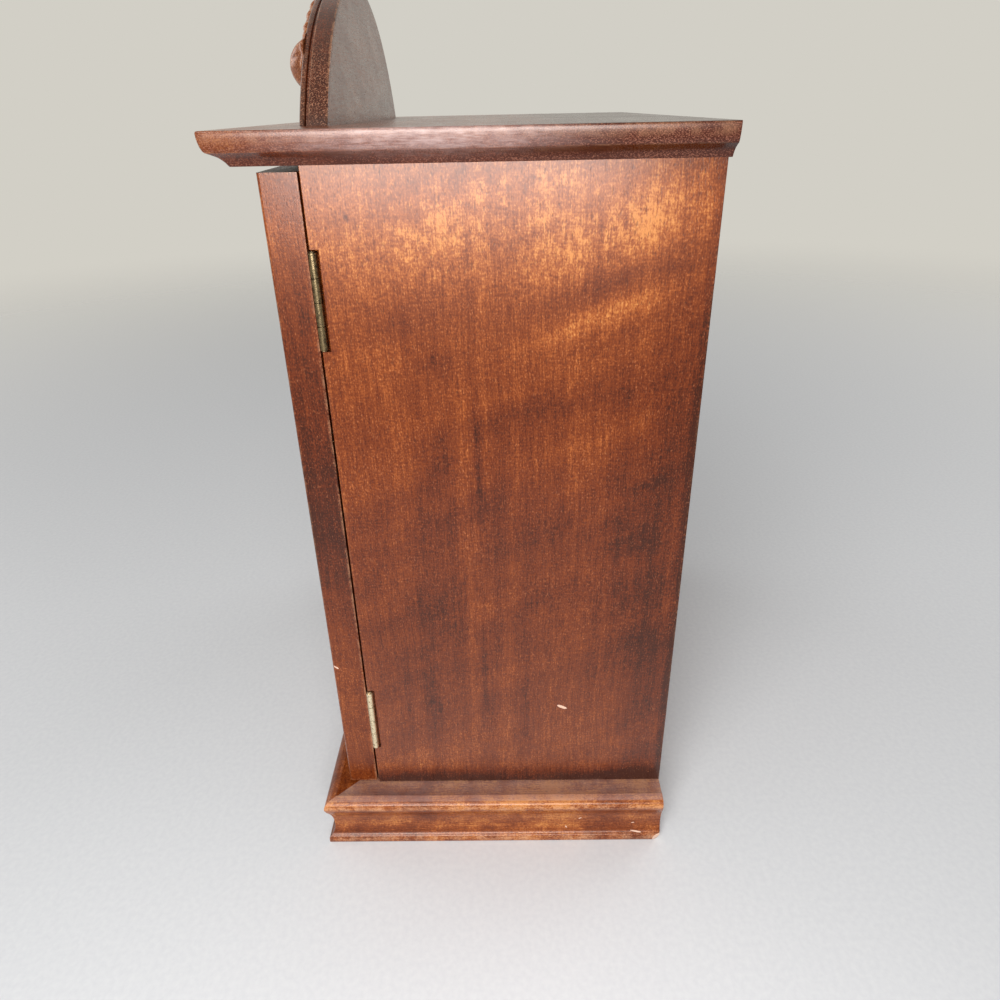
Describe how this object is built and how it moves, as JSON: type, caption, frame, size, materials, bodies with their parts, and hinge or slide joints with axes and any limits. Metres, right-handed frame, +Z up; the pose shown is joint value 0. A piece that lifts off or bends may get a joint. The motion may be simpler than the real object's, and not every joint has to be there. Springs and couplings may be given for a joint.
{
  "type": "jewelry cabinet",
  "caption": "Table-top jewelry cabinet: moulded base and top, arched carved crest, framed glass door on brass hinges, felt-lined drawers and a necklace compartment with hooks.",
  "frame": {"origin": "on the table, under the middle of the cabinet's bounding box", "axes": "+Z up, the door and drawers face -Y, +X is to the right as seen from the front, the side of the hinges"},
  "size_m": [0.2538, 0.1536, 0.3417],
  "materials": {
    "stained_mahogany": "satin lacquer over red-brown stain",
    "stained_ply": "matt stained plywood",
    "drawer_wood": "thin clear sealer",
    "velvet": "short pile",
    "clear_glass": "polished",
    "aged_brass": "tarnished",
    "bright_brass": "polished, slightly worn",
    "steel": "zinc plated",
    "catch_plastic": "moulded brown plastic"
  },
  "bodies": {
    "case": {"side_panel_left": "stained_mahogany", "side_panel_right": "stained_mahogany", "back_panel": "stained_ply", "bottom_board": "stained_ply", "base_moulding_front": "stained_mahogany", "base_moulding_right": "stained_mahogany", "base_moulding_left": "stained_mahogany", "base_back_rail": "stained_ply", "corner_blocks": "stained_ply", "top_board": "stained_mahogany", "crest_board": "stained_mahogany", "crest_screws": "steel", "crest_carving": "stained_mahogany", "necklace_shelf": "stained_mahogany", "drawer_divider_1": "stained_mahogany", "drawer_divider_2": "stained_mahogany", "shelf_felt": "velvet", "necklace_rail": "stained_mahogany", "necklace_hooks": "bright_brass", "door_catch": "catch_plastic", "upper_hinge_case_leaf": "aged_brass", "lower_hinge_case_leaf": "bright_brass", "upper_hinge_pin": "aged_brass", "lower_hinge_pin": "bright_brass", "hinge_screws_case": "bright_brass"},
    "door": {"door_stile_right": "stained_mahogany", "door_stile_left": "stained_mahogany", "door_rail_top": "stained_mahogany", "door_rail_bottom": "stained_mahogany", "door_glass": "clear_glass", "glass_beads": "stained_mahogany", "door_knob": "bright_brass", "door_knob_screw": "steel", "upper_hinge_door_leaf": "aged_brass", "lower_hinge_door_leaf": "bright_brass", "hinge_screws_door": "bright_brass", "strike_plate": "steel"},
    "lower_drawer": {"lower_drawer_front": "stained_mahogany", "lower_drawer_side_left": "drawer_wood", "lower_drawer_side_right": "drawer_wood", "lower_drawer_back": "drawer_wood", "lower_drawer_bottom": "drawer_wood", "lower_drawer_felt": "velvet", "lower_drawer_knob": "bright_brass"},
    "middle_drawer": {"middle_drawer_front": "stained_mahogany", "middle_drawer_side_left": "drawer_wood", "middle_drawer_side_right": "drawer_wood", "middle_drawer_back": "drawer_wood", "middle_drawer_bottom": "drawer_wood", "middle_drawer_felt": "velvet", "middle_drawer_knob": "bright_brass"},
    "upper_drawer": {"upper_drawer_front": "stained_mahogany", "upper_drawer_side_left": "drawer_wood", "upper_drawer_side_right": "drawer_wood", "upper_drawer_back": "drawer_wood", "upper_drawer_bottom": "drawer_wood", "upper_drawer_felt": "velvet", "upper_drawer_knob": "bright_brass", "ring_cushion": "velvet"}
  },
  "joints": [
    {"name": "door_hinge", "type": "hinge", "parent": "case", "child": "door", "pos_m": [0.114, -0.05045, 0.1556], "axis": [0, 0, 1], "range_deg": [0, 175]},
    {"name": "lower_drawer_slide", "type": "slide", "parent": "case", "child": "lower_drawer", "axis": [0, -1, 0], "range_m": [0, 0.08]},
    {"name": "middle_drawer_slide", "type": "slide", "parent": "case", "child": "middle_drawer", "axis": [0, -1, 0], "range_m": [0, 0.08]},
    {"name": "upper_drawer_slide", "type": "slide", "parent": "case", "child": "upper_drawer", "axis": [0, -1, 0], "range_m": [0, 0.08]}
  ],
  "couplings": [
    {"joint": "lower_drawer_slide", "follows": "door_hinge", "m_per_rad": 0.0261},
    {"joint": "middle_drawer_slide", "follows": "door_hinge", "m_per_rad": 0.0261},
    {"joint": "upper_drawer_slide", "follows": "door_hinge", "m_per_rad": 0.0261}
  ]
}
